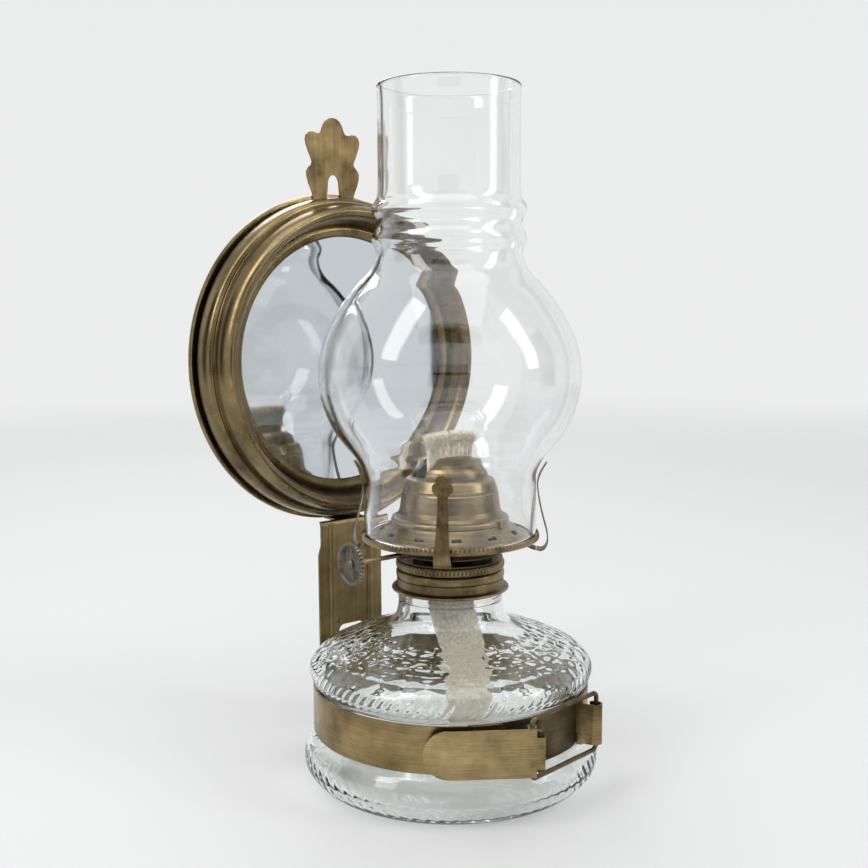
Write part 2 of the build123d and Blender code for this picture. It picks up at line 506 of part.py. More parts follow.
# small latch on the base ring
dome = dome + (ring_sector(25.6, 27.0, 113.9, 117.4, 12.5, 17.5) - Pos(0, 0, 112) * Cylinder(26.25, 2.55, align=(Align.CENTER, Align.CENTER, Align.MIN)))
save("flame_dome", dome)

# wick raiser: shaft, two sprockets, knob and its rivet
shaft = Pos(KNOB_X0 + 0.3, SHAFT_Y, SHAFT_Z) * Rot(0, 90, 0) * Cylinder(SHAFT_R, 12.0 - (KNOB_X0 + 0.3), align=(Align.CENTER, Align.CENTER, Align.MIN))
save("wick_shaft", shaft)
spk = []
for sx in (-1, 1):
    s = Pos(sx * 6.0, SHAFT_Y, SHAFT_Z) * Rot(0, 90, 0) * (Cylinder(2.5, 1.4) - Cylinder(SHAFT_R, 3))
    for k in range(8):
        a = 2 * math.pi * k / 8
        s = s + Pos(sx * 6.0, SHAFT_Y, SHAFT_Z) * Rot(math.degrees(a), 0, 0) * Pos(0, 0, (2.3 + SPROCKET_R) / 2) * Box(1.4, 0.7, SPROCKET_R - 2.3)
    spk.append(s)
save("wick_sprockets", spk)
knob = Pos(KNOB_X0, SHAFT_Y, SHAFT_Z) * Rot(0, 90, 0) * Cylinder(KNOB_R, KNOB_X1 - KNOB_X0, align=(Align.CENTER, Align.CENTER, Align.MIN))
knob = knob - Pos(KNOB_X0, SHAFT_Y, SHAFT_Z) * Rot(0, 90, 0) * Cylinder(SHAFT_R, 10)
for k in range(32):
    a = 2 * math.pi * k / 32
    knob = knob - Pos((KNOB_X0 + KNOB_X1) / 2, SHAFT_Y + (KNOB_R + 0.25) * math.cos(a), SHAFT_Z + (KNOB_R + 0.25) * math.sin(a)) * Rot(0, 90, 0) * Cylinder(0.55, 4)
knob = knob + Pos(KNOB_X1, SHAFT_Y, SHAFT_Z) * Rot(0, 90, 0) * (Cylinder(2.2, 2.6, align=(Align.CENTER, Align.CENTER, Align.MIN)) - Cylinder(SHAFT_R, 2.6, align=(Align.CENTER, Align.CENTER, Align.MIN)))
save("wick_knob", knob)
kr = Pos(KNOB_X0, SHAFT_Y, SHAFT_Z) * Rot(0, -90, 0) * Cone(2.0, 1.1, 0.8, align=(Align.CENTER, Align.CENTER, Align.MIN))
kr = kr + Pos(KNOB_X0, SHAFT_Y, SHAFT_Z) * Rot(0, 90, 0) * Cylinder(SHAFT_R, 0.3, align=(Align.CENTER, Align.CENTER, Align.MIN))
save("knob_rivet", kr)
bush2 = Pos(-33.2, SHAFT_Y, SHAFT_Z) * Rot(0, 90, 0) * (Cylinder(1.7, 5.6, align=(Align.CENTER, Align.CENTER, Align.MIN)) - Cylinder(SHAFT_R + 0.06, 5.6, align=(Align.CENTER, Align.CENTER, Align.MIN)))
save("shaft_bush", bush2)

# flat wick: straight in the tube, swaying below it inside the font
wp = [(0, WICK_TOP), (0, 140), (0, 120), (0, 100), (0, 92), (0, 86), (0, 82.5), (-1.4, 76), (-5.0, 66), (-9.0, 55), (-12.2, 43), (-14.0, 31), (-13.4, 22), (-12.0, 16.5)]
fine = catmull(wp, 5)
f = strip_face(fine, WICK_T, lambda p: (0, p[0], p[1]))
wick = extrude(f, WICK_W / 2, dir=(1, 0, 0), both=True)
save("wick", wick)

# spring prongs: a fixed foot riveted under the bowl and a free strip that
# rises past the rim, leans on the chimney and ends in a trefoil head
foot_line = [(29.4, 103.42), (31.4, 104.28), (32.8, 104.4), (34.4, 103.8), (36.2, 102.9), (PRONG_FOOT_R, 102.35)]
HINGE_R, HINGE_Z = PRONG_FOOT_R + 0.55, 102.3
strip_line = [(HINGE_R, HINGE_Z), (39.6, 102.05), (40.6, 102.05), (41.9, 102.9), (42.9, 104.8), (43.15, 107.6), (42.7, 110.8), (41.4, 115.6), (40.0, 121.4), (39.0, 127.0), (38.66, 130.8), (38.8, 133.0), (39.5, 135.4), (40.9, 138.2), (42.7, 141.0)]
strip = extrude(strip_face(catmull(strip_line, 4), PRONG_T, lambda p: (p[0], 0, p[1])), 6, dir=(0, 1, 0), both=True)
ph = [(3.7, 100.0), (3.7, 105.0), (3.1, 109.5), (2.65, 117.0), (2.3, 125.0), (2.1, 130.8), (2.4, 131.8), (3.4, 132.6), (4.2, 133.8), (4.45, 135.2), (4.1, 136.6), (3.2, 137.5),
      (2.6, 137.8), (2.6, 138.8), (2.1, 140.0), (1.3, 140.7), (0, 141.0)]
pol = [(y, z) for y, z in ph] + [(-y, z) for y, z in ph[::-1][1:]]
pmask = extrude(make_face(Polyline(*[(30, y, z) for y, z in pol], close=True)), 20, dir=(1, 0, 0))
prong0 = (strip & pmask) + Pos(HINGE_R, 0, HINGE_Z) * Rot(90, 0, 0) * Cylinder(0.3, 7.4)
for name, a in (("prong_front", -45), ("prong_right", 45), ("prong_back", 135), ("prong_left", -135)):
    save(name, Rot(0, 0, a - 90) * prong0)
foot0 = extrude(strip_face(catmull(foot_line, 4), PRONG_T, lambda p: (p[0], 0, p[1])), 3.7, dir=(0, 1, 0), both=True)
feet, prv = [], []
riv0 = Pos(31.0, 0, 103.0) * Cylinder(0.8, 1.9, align=(Align.CENTER, Align.CENTER, Align.MIN)) + Pos(31.0, 0, 102.8) * Cone(1.1, 1.8, 0.9, align=(Align.CENTER, Align.CENTER, Align.MIN))
for a in (-45, 45, 135, -135):
    feet.append(Rot(0, 0, a - 90) * foot0)
    prv.append(Rot(0, 0, a - 90) * riv0)
save("prong_feet", feet)
save("prong_rivets", prv)

# ---------------------------------------------------------------------------
# glass chimney
# ---------------------------------------------------------------------------
co = [(CH_BASE_R, 126.0), (CH_BASE_R, 129.0), (CH_BASE_R + 0.02, 132.0), (38.3, 136.4), (41.2, 142.6), (46.0, 148.5), (50.5, 154.5),
      (53.8, 161.0), (56.1, 168.0), (57.35, 175.0), (57.45, 181.5), (56.6, 188.0), (54.65, 195.0), (51.45, 202.0),
      (47.95, 208.0), (44.1, 213.5), (39.95, 218.5), (35.2, 223.2), (32.8, 227.4), (31.9, 231.0),
      (32.1, 233.4), (33.1, 235.4), (33.5, 237.5), (33.1, 239.6), (31.9, 242.0), (31.3, 244.0), (31.9, 246.2), (33.1, 248.3), (33.5, 250.2), (33.0, 252.2), (31.5, 254.6), (30.8, 258.0),
      (30.65, 264.0), (30.65, 280.0), (30.65, 294.0), (30.9, 299.5), (31.0, 301.4)]
ci = offset_strip(co, 2 * CH_WALL)[0]
ci = [tuple(p) for p in ci]
ci[0] = (CH_BASE_R - CH_WALL, 126.0)
ci[-1] = (31.0 - CH_WALL + 0.3, 301.4)
e_ch = [Polyline(*rz([(37.4, CH_Z0), (CH_BASE_R, CH_Z0 + 0.8), (CH_BASE_R, 126.0)])), Spline(*rz(co)),
        ThreePointArc((31.0, 0, 301.4), (29.95, 0, CH_Z1), (31.0 - CH_WALL + 0.3, 0, 301.4)), Spline(*rz(ci[::-1])),
        Polyline(*rz([(CH_BASE_R - CH_WALL, 126.0), (CH_BASE_R - CH_WALL, CH_Z0 + 0.8), (36.2, CH_Z0), (37.4, CH_Z0)]))]
chimney = turned(e_ch)
save("chimney", chimney)

# ---------------------------------------------------------------------------
# rivet holes, then every node to its own file
# ---------------------------------------------------------------------------
HOLED = {
    "tongue_rivets": ("clamp_band", "latch_tongue"),
    "bracket_rivets": ("hinge_bracket", "latch_tongue"),
    "strap_rivets": ("back_strap", "back_plate"),
    "standoff_rivets": ("back_strap", "standoff_brackets", "clamp_band"),
    "crest_rivets": ("hanging_crest", "back_plate"),
    "prong_rivets": ("burner_bowl", "prong_feet"),
}
for rv, hosts in HOLED.items():
    for host in hosts:
        out = []
        for body in NODES[host]:
            for r in NODES[rv]:
                body = body - r
            out.append(body)
        NODES[host] = out
for name, shapes in NODES.items():
    shape = shapes[0] if len(shapes) == 1 else Compound(children=shapes)
    shape.label = name
    export_step(shape, "parts/%s.step" % name)
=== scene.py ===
import bpy
import json
import math
import numpy as np
from mathutils import Matrix, Vector, noise

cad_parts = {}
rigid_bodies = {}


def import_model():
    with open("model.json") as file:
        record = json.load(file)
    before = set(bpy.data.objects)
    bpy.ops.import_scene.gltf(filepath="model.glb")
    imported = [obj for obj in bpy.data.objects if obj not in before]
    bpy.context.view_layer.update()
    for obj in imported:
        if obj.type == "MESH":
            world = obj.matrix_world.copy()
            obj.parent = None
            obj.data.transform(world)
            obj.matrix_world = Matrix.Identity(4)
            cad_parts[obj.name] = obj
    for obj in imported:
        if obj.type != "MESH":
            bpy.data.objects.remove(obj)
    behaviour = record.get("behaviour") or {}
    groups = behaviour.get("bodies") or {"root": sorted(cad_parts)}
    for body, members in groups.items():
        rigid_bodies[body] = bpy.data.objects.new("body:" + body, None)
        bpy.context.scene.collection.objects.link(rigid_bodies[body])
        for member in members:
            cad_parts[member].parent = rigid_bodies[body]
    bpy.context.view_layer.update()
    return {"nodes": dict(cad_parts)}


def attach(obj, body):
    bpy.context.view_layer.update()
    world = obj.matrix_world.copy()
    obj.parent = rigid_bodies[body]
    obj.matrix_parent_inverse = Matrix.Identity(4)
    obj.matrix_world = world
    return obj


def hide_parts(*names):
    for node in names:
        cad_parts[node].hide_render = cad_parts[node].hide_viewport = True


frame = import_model()
nodes = frame["nodes"]
MM = 0.001
scene = bpy.context.scene
rng = np.random.default_rng(7)

# ------------------------------------------------------------------ helpers


def new_object(name, verts, faces, smooth_deg=35):
    me = bpy.data.meshes.new(name)
    me.from_pydata([tuple(v) for v in verts], [], [tuple(f) for f in faces])
    me.update()
    ob = bpy.data.objects.new(name, me)
    scene.collection.objects.link(ob)
    me.shade_smooth()
    if smooth_deg is not None:
        me.set_sharp_from_angle(angle=math.radians(smooth_deg))
    return ob


def catmull(pts, k):
    out = []
    n = len(pts)
    for i in range(n - 1):
        p0, p1, p2, p3 = (np.array(pts[j], float) for j in (max(i - 1, 0), i, i + 1, min(i + 2, n - 1)))
        for j in range(k):
            t = j / k
            out.append(0.5 * (2 * p1 + (p2 - p0) * t + (2 * p0 - 5 * p1 + 4 * p2 - p3) * t * t + (3 * p1 - p0 - 3 * p2 + p3) * t ** 3))
    out.append(np.array(pts[-1], float))
    return np.array(out)


def resample(pts, step):
    pts = np.asarray(pts, float)
    d = np.r_[0, np.cumsum(np.linalg.norm(np.diff(pts, axis=0), axis=1))]
    n = max(2, int(round(d[-1] / step)) + 1)
    s = np.linspace(0, d[-1], n)
    return np.stack([np.interp(s, d, pts[:, i]) for i in range(pts.shape[1])], 1)


def offset_line(pts, t):
    p = np.asarray(pts, float)
    d = np.gradient(p, axis=0)
    d /= np.linalg.norm(d, axis=1)[:, None]
    nrm = np.stack([-d[:, 1], d[:, 0]], 1)
    return p + nrm * t


def lathe(name, prof, n=192, fn=None, closed=True, smooth=35, axis="Z", centre=(0, 0, 0)):
    """Turns a loop of (r, z) mm about an axis. fn(theta, r, z) returns an outward shift in mm along (dr, dz)."""
    p = np.asarray(prof, float)
    th = np.linspace(0, 2 * math.pi, n, endpoint=False)
    m = len(p)
    R = np.repeat(p[:, 0][:, None], n, 1)
    Z = np.repeat(p[:, 1][:, None], n, 1)
    if fn is not None:
        dR, dZ = fn(th[None, :], R, Z)
        R = R + dR
        Z = Z + dZ
    X, Y = R * np.sin(th)[None, :], -R * np.cos(th)[None, :]
    if axis == "Z":
        V = np.stack([X, Y, Z], -1)
    else:                                       # about a line parallel to Y, z is the y value
        V = np.stack([X, Z, -Y], -1)
    V = (V + np.array(centre)) * MM
    idx = np.arange(m * n).reshape(m, n)
    faces = []
    last = m if closed else m - 1
    for i in range(last):
        a, b = idx[i], idx[(i + 1) % m]
        a2, b2 = np.roll(a, -1), np.roll(b, -1)
        faces.append(np.stack([a, a2, b2, b], 1))
    faces = np.concatenate(faces)
    if axis != "Z":
        faces = faces[:, ::-1]
    return new_object(name, V.reshape(-1, 3), faces.tolist(), smooth)


def put(ob, body, mat, *replaced, slot=None):
    ob.data.materials.clear()
    ob.data.materials.append(mat)
    if replaced:
        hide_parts(*replaced)
    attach(ob, body)
    return ob


def fix_normals(ob):
    import bmesh
    bm = bmesh.new()
    bm.from_mesh(ob.data)
    bmesh.ops.recalc_face_normals(bm, faces=bm.faces)
    bm.to_mesh(ob.data)
    bm.free()
    return ob

# ---------------------------------------------------------------- materials


def mat_new(name):
    m = bpy.data.materials.new(name)
    m.use_nodes = True
    nt = m.node_tree
    b = nt.nodes["Principled BSDF"]
    return m, nt, b


def N(nt, kind, **kw):
    nd = nt.nodes.new(kind)
    for k, v in kw.items():
        setattr(nd, k, v)
    return nd


def brass(name, lit=(0.40, 0.31, 0.165), mid=(0.235, 0.172, 0.085), dark=(0.07, 0.048, 0.028), rough=0.30, brush=None, brush_scale=900.0,
          bump=0.12, dirt=0.5, scale=55.0, shade=1.0):
    """Aged brass: cloudy patina, dark stain in hollows, fine brushing along one axis, sharp edges brightened as a
    painted highlight.
    """
    m, nt, b = mat_new(name)
    L = nt.links.new
    co = N(nt, "ShaderNodeTexCoord")
    n1 = N(nt, "ShaderNodeTexNoise"); n1.inputs["Scale"].default_value = scale; n1.inputs["Detail"].default_value = 6; n1.inputs["Roughness"].default_value = 0.62
    L(co.outputs["Object"], n1.inputs["Vector"])
    r1 = N(nt, "ShaderNodeValToRGB")
    e = r1.color_ramp.elements
    e[0].position = 0.30; e[0].color = tuple(c * shade for c in dark) + (1,)
    e[1].position = 0.72; e[1].color = tuple(c * shade for c in lit) + (1,)
    k = e.new(0.46); k.color = tuple(c * shade for c in mid) + (1,)
    L(n1.outputs["Fac"], r1.inputs["Fac"])
    # brushing: noise stretched along the chosen axis
    mp = N(nt, "ShaderNodeMapping")
    s = {"x": (0.02, 1, 1), "y": (1, 0.02, 1), "z": (1, 1, 0.02), "ring": (0.04, 0.04, 1.4), None: (1, 1, 1)}[brush]
    mp.inputs["Scale"].default_value = s
    L(co.outputs["Object"], mp.inputs["Vector"])
    n2 = N(nt, "ShaderNodeTexNoise"); n2.inputs["Scale"].default_value = brush_scale; n2.inputs["Detail"].default_value = 3; n2.inputs["Roughness"].default_value = 0.7
    L(mp.outputs["Vector"], n2.inputs["Vector"])
    mx = N(nt, "ShaderNodeMixRGB", blend_type="MULTIPLY"); mx.inputs["Fac"].default_value = 0.55
    r2 = N(nt, "ShaderNodeValToRGB")
    r2.color_ramp.elements[0].position = 0.32; r2.color_ramp.elements[0].color = (0.55, 0.52, 0.47, 1)
    r2.color_ramp.elements[1].position = 0.62; r2.color_ramp.elements[1].color = (1.12, 1.1, 1.05, 1)
    L(n2.outputs["Fac"], r2.inputs["Fac"])
    L(r1.outputs["Color"], mx.inputs["Color1"]); L(r2.outputs["Color"], mx.inputs["Color2"])
    # dark stain in hollows and a painted highlight on sharp edges, both from the mesh's own curvature
    geo = N(nt, "ShaderNodeNewGeometry")
    rp = N(nt, "ShaderNodeValToRGB")
    pe = rp.color_ramp.elements
    pe[0].position = 0.44; pe[0].color = (1 - dirt, 1 - dirt * 1.03, 1 - dirt * 1.05, 1)
    pe[1].position = 0.50; pe[1].color = (1, 1, 1, 1)
    # the stop above 1 brightens sharp edges: a painted highlight
    q = pe.new(0.57); q.color = (1.5, 1.45, 1.35, 1)
    L(geo.outputs["Pointiness"], rp.inputs["Fac"])
    m2 = N(nt, "ShaderNodeMixRGB", blend_type="MULTIPLY"); m2.inputs["Fac"].default_value = 1.0
    L(mx.outputs["Color"], m2.inputs["Color1"]); L(rp.outputs["Color"], m2.inputs["Color2"])
    L(m2.outputs["Color"], b.inputs["Base Color"])
    b.inputs["Metallic"].default_value = 1.0
    mr = N(nt, "ShaderNodeMapRange"); mr.inputs["From Min"].default_value = 0.3; mr.inputs["From Max"].default_value = 0.75
    mr.inputs["To Min"].default_value = rough + 0.16; mr.inputs["To Max"].default_value = rough - 0.05
    L(n1.outputs["Fac"], mr.inputs["Value"]); L(mr.outputs["Result"], b.inputs["Roughness"])
    bp = N(nt, "ShaderNodeBump"); bp.inputs["Strength"].default_value = bump; bp.inputs["Distance"].default_value = 0.0003
    L(n2.outputs["Fac"], bp.inputs["Height"]); L(bp.outputs["Normal"], b.inputs["Normal"])
    return m


def glass(name, tint=(1, 1, 1), ior=1.48, rough=0.0, wave=0.02, scale=20.0, speck=0.0):
    m, nt, b = mat_new(name)
    L = nt.links.new
    co = N(nt, "ShaderNodeTexCoord")
    n = N(nt, "ShaderNodeTexNoise"); n.inputs["Scale"].default_value = scale; n.inputs["Detail"].default_value = 1.5
    L(co.outputs["Object"], n.inputs["Vector"])
    bp = N(nt, "ShaderNodeBump"); bp.inputs["Strength"].default_value = wave; bp.inputs["Distance"].default_value = 0.004
    L(n.outputs["Fac"], bp.inputs["Height"]); L(bp.outputs["Normal"], b.inputs["Normal"])
    cr = N(nt, "ShaderNodeValToRGB")
    cr.color_ramp.elements[0].position = 0.35; cr.color_ramp.elements[0].color = tuple(c * 0.975 for c in tint) + (1,)
    cr.color_ramp.elements[1].position = 0.65; cr.color_ramp.elements[1].color = tint + (1,)
    L(n.outputs["Fac"], cr.inputs["Fac"]); L(cr.outputs["Color"], b.inputs["Base Color"])
    b.inputs["Transmission Weight"].default_value = 1.0
    b.inputs["IOR"].default_value = ior
    b.inputs["Roughness"].default_value = rough
    return m


BR_RING = brass("brass_turned", lit=(0.31, 0.25, 0.145), mid=(0.17, 0.132, 0.072), dark=(0.05, 0.037, 0.022), brush="ring", brush_scale=1100, bump=0.08)
BR_BAND = brass("brass_band", lit=(0.295, 0.232, 0.122), mid=(0.155, 0.118, 0.058), dark=(0.055, 0.036, 0.017), brush="ring", brush_scale=1300, bump=0.10, rough=0.25, scale=34)
BR_LEVER = brass("brass_lever", lit=(0.365, 0.292, 0.160), mid=(0.212, 0.166, 0.087), dark=(0.075, 0.052, 0.024), brush="ring", brush_scale=1500, bump=0.12, rough=0.26, scale=40)
BR_REF = brass("brass_reflector", lit=(0.315, 0.248, 0.132), mid=(0.165, 0.125, 0.062), dark=(0.045, 0.03, 0.014), brush=None, brush_scale=1600, bump=0.05, rough=0.19, scale=34)
BR_STRAP = brass("brass_strap", lit=(0.235, 0.188, 0.105), mid=(0.127, 0.098, 0.052), dark=(0.045, 0.031, 0.016), brush="z", brush_scale=1000, bump=0.10, rough=0.27, scale=26)
BR_CREST = brass("brass_crest", lit=(0.215, 0.165, 0.088), mid=(0.14, 0.104, 0.054), dark=(0.06, 0.043, 0.025), brush="z", brush_scale=1100, bump=0.10, rough=0.36, scale=55)
BR_DOME = brass("brass_dome", lit=(0.35, 0.28, 0.165), mid=(0.21, 0.162, 0.092), dark=(0.07, 0.05, 0.03), brush="ring", brush_scale=1200, bump=0.08, rough=0.26, scale=60)
# very dark copy of the brass for the drum, bowl, wick tube, tongue, bracket and prong feet, which sit in shade: painted
# shade
BR_PAINTED_SHADE = brass("brass_painted_shade", lit=(0.10, 0.078, 0.045), mid=(0.05, 0.038, 0.024), dark=(0.018, 0.013, 0.01), brush="ring", rough=0.42, bump=0.05)
BR_PRONG = brass("brass_prong", lit=(0.20, 0.155, 0.088), mid=(0.11, 0.082, 0.045), dark=(0.038, 0.028, 0.018), brush="z", brush_scale=1300, bump=0.12, rough=0.30, scale=90)
BR_KNOB = brass("brass_knob", lit=(0.215, 0.20, 0.165), mid=(0.145, 0.132, 0.105), dark=(0.05, 0.043, 0.03), brush=None, brush_scale=2200, bump=0.3, rough=0.42, scale=160)
WIRE = brass("wire_brassed", lit=(0.22, 0.172, 0.10), mid=(0.125, 0.094, 0.054), dark=(0.04, 0.03, 0.02), brush="x", brush_scale=1400, bump=0.08, rough=0.3, scale=120)
GL_CH = glass("glass_chimney", (0.985, 0.99, 0.99), wave=0.015, scale=14)
GL_FONT = glass("glass_font", (0.955, 0.978, 0.965), wave=0.05, scale=60)

# mirror, board, cement, wick
MIR, nt, b = mat_new("mirror_silver")
co = N(nt, "ShaderNodeTexCoord"); n = N(nt, "ShaderNodeTexNoise"); n.inputs["Scale"].default_value = 12
nt.links.new(co.outputs["Object"], n.inputs["Vector"])
cr = N(nt, "ShaderNodeValToRGB"); cr.color_ramp.elements[0].color = (0.60, 0.645, 0.68, 1); cr.color_ramp.elements[1].color = (0.70, 0.735, 0.76, 1)
nt.links.new(n.outputs["Fac"], cr.inputs["Fac"]); nt.links.new(cr.outputs["Color"], b.inputs["Base Color"])
b.inputs["Metallic"].default_value = 1.0
b.inputs["Roughness"].default_value = 0.035


def plain(name, c0, c1, rough, scale, bump=0.3, dist=0.0005):
    m, nt, b = mat_new(name)
    co = N(nt, "ShaderNodeTexCoord"); n = N(nt, "ShaderNodeTexNoise"); n.inputs["Scale"].default_value = scale; n.inputs["Detail"].default_value = 6
    nt.links.new(co.outputs["Object"], n.inputs["Vector"])
    cr = N(nt, "ShaderNodeValToRGB"); cr.color_ramp.elements[0].position = 0.3; cr.color_ramp.elements[0].color = c0 + (1,)
    cr.color_ramp.elements[1].position = 0.7; cr.color_ramp.elements[1].color = c1 + (1,)
    nt.links.new(n.outputs["Fac"], cr.inputs["Fac"]); nt.links.new(cr.outputs["Color"], b.inputs["Base Color"])
    b.inputs["Roughness"].default_value = rough
    bp = N(nt, "ShaderNodeBump"); bp.inputs["Strength"].default_value = bump; bp.inputs["Distance"].default_value = dist
    nt.links.new(n.outputs["Fac"], bp.inputs["Height"]); nt.links.new(bp.outputs["Normal"], b.inputs["Normal"])
    return m


BOARD = plain("backing_board", (0.10, 0.075, 0.05), (0.2, 0.15, 0.10), 0.8, 200)
CEMENT = plain("lamp_plaster", (0.62, 0.6, 0.54), (0.8, 0.78, 0.72), 0.9, 300)
COTTON = plain("wick_cotton", (0.50, 0.445, 0.35), (0.82, 0.765, 0.65), 0.95, 700, 0.6, 0.0005)
COTTON.node_tree.nodes["Principled BSDF"].inputs["Sheen Weight"].default_value = 0.4

# ------------------------------------------------------------ CAD materials
assign = {
    "clamp_band": BR_BAND, "latch_tongue": BR_PAINTED_SHADE, "tongue_rivets": BR_BAND, "hinge_bracket": BR_PAINTED_SHADE, "bracket_rivets": BR_PAINTED_SHADE,
    "hinge_pin": WIRE, "latch_lever": BR_LEVER, "latch_link": WIRE, "back_strap": BR_STRAP, "standoff_brackets": BR_STRAP, "standoff_rivets": BR_STRAP,
    "strap_rivets": BR_STRAP, "back_plate": BR_REF, "backing_board": BOARD, "mirror_glass": MIR, "reflector_frame": BR_REF, "hanging_crest": BR_CREST,
    "crest_rivets": BR_CREST, "burner_skirt": BR_RING, "air_drum": BR_PAINTED_SHADE, "burner_bowl": BR_PAINTED_SHADE, "gallery_deck": BR_DOME, "flame_dome": BR_DOME,
    "wick_tube": BR_PAINTED_SHADE, "prong_feet": BR_PAINTED_SHADE, "prong_rivets": BR_PAINTED_SHADE, "shaft_bush": BR_PAINTED_SHADE, "wick_shaft": WIRE, "wick_sprockets": WIRE,
    "wick_knob": BR_KNOB, "knob_rivet": BR_KNOB, "prong_front": BR_PRONG, "prong_right": BR_PRONG, "prong_back": BR_PRONG, "prong_left": BR_PRONG,
    "collar": BR_RING, "collar_cement": CEMENT, "font_glass": GL_FONT, "chimney": GL_CH, "wick": COTTON}
for k, m in assign.items():
    ob = nodes[k]
    if not ob.data.materials:
        ob.data.materials.append(m)
    for i in range(len(ob.data.materials)):
        ob.data.materials[i] = m

# ----------------------------------------------------------------- chimney
co_ = [(38.1, 110.0), (38.1, 114.0), (38.1, 120.0), (38.1, 126.0), (38.1, 129.0), (38.12, 132.0), (38.3, 136.4), (41.2, 142.6), (46.0, 148.5), (50.5, 154.5), (53.8, 161.0), (56.1, 168.0), (57.35, 175.0), (57.45, 181.5), (56.6, 188.0), (54.65, 195.0), (51.45, 202.0), (47.95, 208.0), (44.1, 213.5), (39.95, 218.5), (35.2, 223.2), (32.8, 227.4), (31.9, 231.0),
       (32.1, 233.4), (33.1, 235.4), (33.5, 237.5), (33.1, 239.6), (31.9, 242.0), (31.3, 244.0), (31.9, 246.2),
       (33.1, 248.3), (33.5, 250.2), (33.0, 252.2), (31.5, 254.6), (30.8, 258.0), (30.65, 264.0), (30.65, 280.0), (30.65, 294.0), (30.85, 299.0), (31.0, 301.2)]
cout = resample(catmull(co_, 10), 1.1)
cin = offset_line(cout, 2.3)
top = [(30.9 + 0.0, 301.8), (30.5, 302.25), (29.9, 302.4), (29.3, 302.25), (28.9, 301.8)]
bot = [(35.9, 109.4), (36.3, 108.95), (36.9, 108.8), (37.5, 108.95), (37.95, 109.4)]
chim = lathe("chimney_blown", np.vstack([cout, top, cin[::-1], bot]), 200, smooth=60)
put(fix_normals(chim), "chimney", GL_CH, "chimney", slot="chimney_glass")
chim.visible_shadow = False

# -------------------------------------------------------------------- font
fo = [(50.0, 0.45), (57.0, 0.0), (60.3, 0.8), (61.9, 2.0), (63.5, 4.0), (64.9, 6.0), (65.6, 9.2), (65.5, 12.0), (65.1, 15.0), (64.3, 17.4), (62.9, 19.6), (61.2, 21.0), (59.75, 22.2)]
fs = [(59.7, 42.3), (60.2, 43.0), (61.4, 44.0), (61.9, 45.4), (62.5, 47.4), (62.9, 49.0), (62.6, 51.0), (61.2, 53.2), (58.1, 56.0), (54.2, 58.0), (50.1, 60.0), (44.7, 62.0), (39.3, 64.0), (34.1, 66.0), (29.65, 68.0), (26.4, 70.0),
      (24.45, 72.5), (23.5, 76.0), (23.1, 79.4), (23.45, 80.4), (23.1, 81.4), (23.05, 83.2), (22.2, 84.2), (21.15, 85.2), (21.15, 88.0), (21.15, 92.0), (20.6, 92.3), (18.0, 92.3), (17.55, 92.0), (17.5, 88.0), (17.55, 84.0)]
fi = [(17.55, 84.0), (19.7, 78.0), (20.9, 73.0), (24.2, 68.4), (32.4, 63.6), (42.6, 59.7), (51.6, 55.9), (56.4, 52.9), (59.0, 49.4), (58.7, 46.8), (57.0, 43.6), (56.4, 40.0), (56.4, 26.0), (57.1, 21.0), (59.1, 17.6), (61.4, 13.6), (61.8, 10.2),
      (60.7, 7.2), (57.4, 4.6), (52.0, 3.5), (30.0, 3.4)]
A = resample(catmull(fo, 10), 0.45)
Bm = resample([(59.72, 22.2), (59.72, 42.3)], 1.5)
C = resample(catmull(fs, 10), 0.45)
Dn = resample(catmull(fi, 8), 1.6)
out_prof = np.vstack([A, Bm[1:-1], C])
prof = np.vstack([[[0.4, 0.5]], out_prof, Dn[1:], [[0.4, 3.4]]])
n_out = len(out_prof) + 1


def relief(th, R, Z):
    """Height of the pressed pattern in mm, out along the surface's normal."""
    H = np.zeros_like(R)
    t = th + 0 * R
    # twisted rope round the shoulder's edge
    w = np.clip((Z - 45.6) / 0.9, 0, 1) * np.clip((52.2 - Z) / 0.9, 0, 1) * (R > 59.5)
    ph = 92 * t - Z * 1.05
    H += w * (0.42 * (0.5 + 0.5 * np.sin(ph)) - 0.1)
    # leaves, stars and rosettes on the shoulder: rows set by the radius
    sh = (Z > 52.2) & (R > 33.0) & (R < 62.5)
    fade = np.clip((Z - 52.4) / 1.0, 0, 1) * np.clip((R - 33.0) / 2.0, 0, 1)
    u = np.clip((62.0 - R) / 29.0, 0, 1) * 3.0          # three rows
    row = np.floor(u)
    fu = (u - row - 0.5) * 2
    cnt = 18
    v = t / (2 * math.pi) * cnt + 0.5 * (row % 2)
    fv = (v - np.floor(v) - 0.5) * 2
    rr = np.sqrt(fu ** 2 + fv ** 2)
    an = np.arctan2(fu, fv)
    petal = 0.5 + 0.5 * np.cos(4 * an + row * math.pi)
    star = np.exp(-((rr - 0.55) / 0.36) ** 2) * (0.1 + 0.9 * petal)
    eye = 0.55 * np.exp(-(rr / 0.24) ** 2)
    edge = np.exp(-((np.maximum(np.abs(fu), np.abs(fv)) - 1.0) / 0.16) ** 2)
    H += np.where(sh, fade * (0.62 * star + eye + 0.3 * edge - 0.15), 0)
    # leaf rope on the foot
    w = np.clip((Z - 2.6) / 1.2, 0, 1) * np.clip((14.6 - Z) / 1.2, 0, 1) * (R > 61)
    tri = np.abs(((72 * t / (2 * math.pi) * 1.0 + (Z - 8.5) / 9.0) % 1.0) - 0.5) * 2
    H += w * (0.34 * (0.5 + 0.5 * np.cos(math.pi * np.clip(tri * 1.25, 0, 1))))
    # ribs under the foot's edge
    w2 = np.clip((Z - 0.3) / 0.6, 0, 1) * np.clip((2.8 - Z) / 0.6, 0, 1) * (R > 58)
    H += w2 * 0.14 * (0.5 + 0.5 * np.sin(120 * t))
    return H


